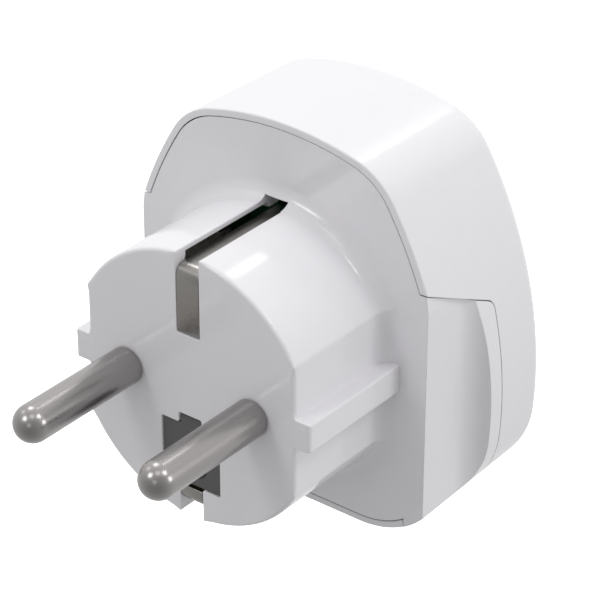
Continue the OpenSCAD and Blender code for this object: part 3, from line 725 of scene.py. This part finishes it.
# slot: colour, metal, roughness, grains per mm, stretch along Y, colour change, roughness change,
# bump in mm
FINISHES = {
    "shell_white": ((0.815, 0.805, 0.83), 0, 0.12, 0.6, 1, 0.006, 0.02, 0.0005),
    "hood_white": ((0.815, 0.805, 0.83), 0, 0.2, 0.6, 1, 0.006, 0.02, 0.0005),
    "insert_white": ((0.80, 0.79, 0.81), 0, 0.2, 0.6, 1, 0.012, 0.04, 0.003),
    "carrier_grey": ((0.06, 0.062, 0.066), 0, 0.45, 2, 1, 0.1, 0.1, 0.02),
    "shutter_grey": ((0.6, 0.61, 0.63), 0, 0.35, 1.5, 1, 0.03, 0.06, 0.01),
    "spring_steel": ((0.55, 0.55, 0.57), 1, 0.28, 4, 1, 0.08, 0.08, 0.01),
    "pin_nickel": ((0.385, 0.37, 0.365), 1, 0.28, 3, 0.08, 0.015, 0.03, 0.0003),
    "contact_brass": ((0.72, 0.52, 0.22), 1, 0.28, 3, 0.1, 0.08, 0.08, 0.01),
    "strap_copper": ((0.72, 0.36, 0.2), 1, 0.3, 3, 0.1, 0.08, 0.08, 0.01),
    "shunt_alloy": ((0.36, 0.31, 0.26), 1, 0.42, 3, 1, 0.08, 0.08, 0.01),
    "wire_red": ((0.5, 0.03, 0.02), 0, 0.4, 3, 1, 0.05, 0.05, 0.01),
    "earth_nickel": ((0.36, 0.345, 0.33), 1, 0.28, 1.5, 0.2, 0.02, 0.03, 0.0008),
    "earth_socket_dark": ((0.1, 0.097, 0.097), 0, 0.5, 2, 1, 0.03, 0.05, 0.006),
    "board_green": ((0.02, 0.16, 0.06), 0, 0.35, 1.2, 1, 0.25, 0.1, 0.02),
    "capacitor_yellow": ((0.7, 0.46, 0.04), 0, 0.35, 1, 1, 0.05, 0.05, 0.01),
    "fuse_ceramic": ((0.72, 0.7, 0.64), 0, 0.55, 4, 1, 0.05, 0.1, 0.02),
    "varistor_blue": ((0.03, 0.09, 0.32), 0, 0.35, 2, 1, 0.1, 0.08, 0.03),
    "capacitor_can": ((0.05, 0.055, 0.08), 0, 0.3, 2, 1, 0.08, 0.05, 0.01),
    "chip_black": ((0.012, 0.012, 0.014), 0, 0.5, 5, 1, 0.15, 0.1, 0.01),
    "crystal_can": ((0.55, 0.55, 0.58), 1, 0.3, 4, 1, 0.08, 0.08, 0.01),
    "header_black": ((0.012, 0.012, 0.012), 0, 0.45, 4, 1, 0.1, 0.1, 0.01),
    "display_glass": ((0.4, 0.45, 0.36), 0, 0.2, 0.8, 1, 0.06, 0.04, 0.0),
    "window_clear": ((0.9, 0.93, 0.95), 0, 0.03, 0.8, 1, 0.01, 0.01, 0.0),
    "elastomer_pink": ((0.5, 0.14, 0.18), 0, 0.6, 3, 1, 0.1, 0.1, 0.01),
    "button_grey": ((0.16, 0.17, 0.19), 0, 0.4, 2, 1, 0.06, 0.06, 0.01),
    "button_red": ((0.42, 0.02, 0.015), 0, 0.35, 2, 1, 0.06, 0.06, 0.01),
    "led_cream": ((0.7, 0.66, 0.35), 0, 0.3, 2, 1, 0.05, 0.05, 0.0),
    "light_pipe": ((0.3, 0.6, 0.36), 0, 0.15, 2, 1, 0.05, 0.03, 0.0),
    "screw_steel": ((0.42, 0.42, 0.44), 1, 0.32, 4, 1, 0.08, 0.08, 0.01),
}


# share of light that passes through a finish
CLEARNESS = {"window_clear": 0.95, "light_pipe": 0.3}


def made_material(name):
    """A material whose colour, roughness and bump vary with a noise at the scale of its finish."""
    colour, metal, rough, grain, stretch, shade, rub, bump = FINISHES[name]
    material = bpy.data.materials.new(name)
    material.use_nodes = True
    tree = material.node_tree
    shader = tree.nodes["Principled BSDF"]
    shader.inputs["Metallic"].default_value = metal
    shader.inputs["Transmission Weight"].default_value = CLEARNESS.get(name, 0.0)
    place = tree.nodes.new("ShaderNodeTexCoord")
    scale = tree.nodes.new("ShaderNodeMapping")
    scale.inputs["Scale"].default_value = (grain / MM, grain * stretch / MM, grain / MM)
    tree.links.new(place.outputs["Object"], scale.inputs["Vector"])
    noise = tree.nodes.new("ShaderNodeTexNoise")
    noise.inputs["Scale"].default_value = 1
    noise.inputs["Detail"].default_value = 3
    tree.links.new(scale.outputs["Vector"], noise.inputs["Vector"])

    def between(low, high):
        node = tree.nodes.new("ShaderNodeMapRange")
        node.inputs["From Min"].default_value = 0.3
        node.inputs["From Max"].default_value = 0.7
        node.inputs["To Min"].default_value = low
        node.inputs["To Max"].default_value = high
        tree.links.new(noise.outputs["Fac"], node.inputs["Value"])
        return node.outputs["Result"]

    mix = tree.nodes.new("ShaderNodeMix")
    mix.data_type = "RGBA"
    mix.inputs[6].default_value = (*[c * (1 - shade) for c in colour], 1)
    mix.inputs[7].default_value = (*[min(c * (1 + shade), 1) for c in colour], 1)
    tree.links.new(between(0, 1), mix.inputs[0])
    tree.links.new(mix.outputs[2], shader.inputs["Base Color"])
    tree.links.new(between(rough * (1 - rub), rough * (1 + rub)), shader.inputs["Roughness"])
    edges = tree.nodes.new("ShaderNodeBevel")
    edges.samples = 6
    edges.inputs["Radius"].default_value = MICRO_EDGE
    if bump:
        relief = tree.nodes.new("ShaderNodeBump")
        relief.inputs["Distance"].default_value = bump * MM
        relief.inputs["Strength"].default_value = 0.3
        tree.links.new(noise.outputs["Fac"], relief.inputs["Height"])
        tree.links.new(edges.outputs["Normal"], relief.inputs["Normal"])
        tree.links.new(relief.outputs["Normal"], shader.inputs["Normal"])
    else:
        tree.links.new(edges.outputs["Normal"], shader.inputs["Normal"])
    return material


def dress(frame):
    """Gives every CAD node the material of its slot, and returns the materials."""
    materials = {name: made_material(name) for name in FINISHES}
    for part in frame["record"]["subparts"]:
        node = frame["nodes"][part["node"]]
        node.data.materials.clear()
        node.data.materials.append(materials[part["material_slot"]])
    return materials


def place(piece, body, slot, nodes, materials):
    """Puts a piece on its body in place of CAD nodes, with the finish of its slot."""
    piece.data.materials.clear()
    piece.data.materials.append(materials[slot])
    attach(piece, body)
    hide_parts(*nodes)


# ---------- studio ----------

def make_camera():
    """The camera, placed by its angles and its distance from the origin."""
    azimuth = math.radians(CAMERA_AZIMUTH)
    elevation = math.radians(CAMERA_ELEVATION)
    back = Vector((
        math.sin(azimuth) * math.cos(elevation),
        -math.cos(azimuth) * math.cos(elevation),
        math.sin(elevation),
    ))
    right = Vector((math.cos(azimuth), math.sin(azimuth), 0))
    up = back.cross(right)
    place = back * CAMERA_DISTANCE + right * CAMERA_RIGHT + up * CAMERA_UP
    roll = Matrix.Rotation(math.radians(CAMERA_ROLL), 3, back)
    turn = Matrix((roll @ right, roll @ up, back)).transposed()
    data = bpy.data.cameras.new("camera")
    data.lens = LENS
    data.sensor_width = SENSOR
    data.clip_start = 0.01
    data.clip_end = 50
    camera = bpy.data.objects.new("camera", data)
    bpy.context.scene.collection.objects.link(camera)
    camera.matrix_world = Matrix.Translation(place) @ turn.to_4x4()
    bpy.context.scene.camera = camera


# name: azimuth from the pins' side towards +X, elevation, width, height, power
LIGHTS = {
    "left_high": (-121, 58, 0.16, 0.16, 0.36),
    "left": (-75, 41, 0.16, 0.16, 0.1),
    "front_left": (-21, 40, 0.16, 0.16, 0.46),
    "overhead": (31, 65, 0.2, 0.2, 0.16),
    "right_high": (104, 54, 0.16, 0.16, 0.43),
    "right_low": (109, 14, 0.16, 0.16, 0.41),
    "front_low": (19, 17, 0.16, 0.16, 0.07),
    "rim": (-169, 46, 0.07, 0.16, 0.12),
}
LIGHT_DISTANCE = 0.6
LIGHT_TARGET = (0, 0.012, 0.002)
SKY_LEVEL = 0.69
SKY_LEAN = (-0.15, 0.31, 0.1)


def light_the_stage():
    """Soft boxes around the object, and a sky brighter above and behind than below and in front."""
    for name, (azimuth, elevation, width, height, power) in LIGHTS.items():
        turn, rise = math.radians(azimuth), math.radians(elevation)
        away = Vector((math.sin(turn) * math.cos(rise), -math.cos(turn) * math.cos(rise), math.sin(rise)))
        data = bpy.data.lights.new(name, "AREA")
        data.shape = "RECTANGLE"
        data.size, data.size_y = width, height
        data.energy = power
        light = bpy.data.objects.new(name, data)
        bpy.context.scene.collection.objects.link(light)
        light.location = Vector(LIGHT_TARGET) + away * LIGHT_DISTANCE
        light.rotation_euler = away.to_track_quat("Z", "Y").to_euler()
    world = bpy.data.worlds.new("studio")
    bpy.context.scene.world = world
    world.use_nodes = True
    tree = world.node_tree
    where = tree.nodes.new("ShaderNodeTexCoord")
    lean = tree.nodes.new("ShaderNodeVectorMath")
    lean.operation = "DOT_PRODUCT"
    lean.inputs[1].default_value = SKY_LEAN
    tree.links.new(where.outputs["Generated"], lean.inputs[0])
    strength = tree.nodes.new("ShaderNodeMath")
    strength.operation = "ADD"
    strength.inputs[1].default_value = SKY_LEVEL
    tree.links.new(lean.outputs["Value"], strength.inputs[0])
    background = tree.nodes["Background"]
    background.inputs["Color"].default_value = (1, 1, 1, 1)
    tree.links.new(strength.outputs["Value"], background.inputs["Strength"])


def lay_floor():
    """A plain pale floor well below the object, seen only by the camera."""
    half = FLOOR_SIZE / 2
    mesh = bpy.data.meshes.new("floor")
    corners = [(x, y, FLOOR_LEVEL) for x, y in ((-half, -half), (half, -half), (half, half), (-half, half))]
    mesh.from_pydata(corners, [], [(0, 1, 2, 3)])
    floor = bpy.data.objects.new("floor", mesh)
    bpy.context.scene.collection.objects.link(floor)
    material = bpy.data.materials.new("floor")
    material.use_nodes = True
    shader = material.node_tree.nodes["Principled BSDF"]
    shader.inputs["Base Color"].default_value = (0.9, 0.9, 0.9, 1)
    shader.inputs["Emission Color"].default_value = (1, 1, 1, 1)
    shader.inputs["Emission Strength"].default_value = 1.0
    mesh.materials.append(material)
    floor.visible_diffuse = False
    floor.visible_glossy = False
    floor.visible_transmission = False
    floor.visible_shadow = False


make_camera()
bpy.context.scene.view_settings.view_transform = "Standard"
light_the_stage()
lay_floor()

materials = dress(frame)
place(rear_housing(), "meter", "shell_white", ["rear_shell"], materials)
place(hood(), "meter", "hood_white", ["front_hood"], materials)
place(pin("left_pin", -1), "meter", "pin_nickel", ["line_pin"], materials)
place(pin("right_pin", 1), "meter", "pin_nickel", ["neutral_pin"], materials)
place(earth_strip("top_earth_strip", 7.6, 1), "meter", "earth_nickel", ["earth_strip_top"], materials)
place(earth_strip("bottom_earth_strip", 13.9, -1), "meter", "earth_nickel", ["earth_strip_bottom"], materials)

place(contact_plate(), "meter", "earth_socket_dark", ["earth_pin_socket"], materials)
place(button("mode_cap", -1), "mode_key", "button_grey", ["mode_button"], materials)
place(button("reset_cap", 1), "reset_key", "button_red", ["reset_button"], materials)
